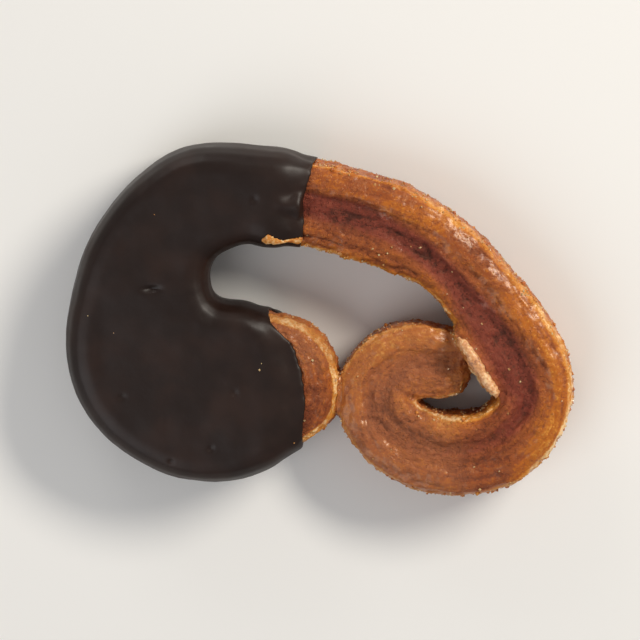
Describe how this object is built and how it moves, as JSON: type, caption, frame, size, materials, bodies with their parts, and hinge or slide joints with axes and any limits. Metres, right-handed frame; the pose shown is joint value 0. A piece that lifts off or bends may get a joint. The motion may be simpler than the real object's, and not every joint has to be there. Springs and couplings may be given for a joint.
{
  "type": "palmier pastry",
  "caption": "Flaky caramelised pastry curled in from both ends, with an open arch between its rolls and a dark chocolate dip over its left side, lying face up.",
  "frame": {"origin": "middle of the foot of the whole, on the surface it lies on", "axes": "+Z out of the shown face, +X from the dipped roll towards the bare roll, +Y towards the arch"},
  "size_m": [0.064, 0.0446, 0.0102],
  "materials": {
    "baked_dough": "caramelised flaky dough, golden orange rims and darker red-brown faces, faint sugar gloss",
    "dark_chocolate": "satin dark chocolate, slightly uneven"
  },
  "bodies": {
    "root": {"pastry": "baked_dough", "chocolate": "dark_chocolate"}
  },
  "joints": []
}
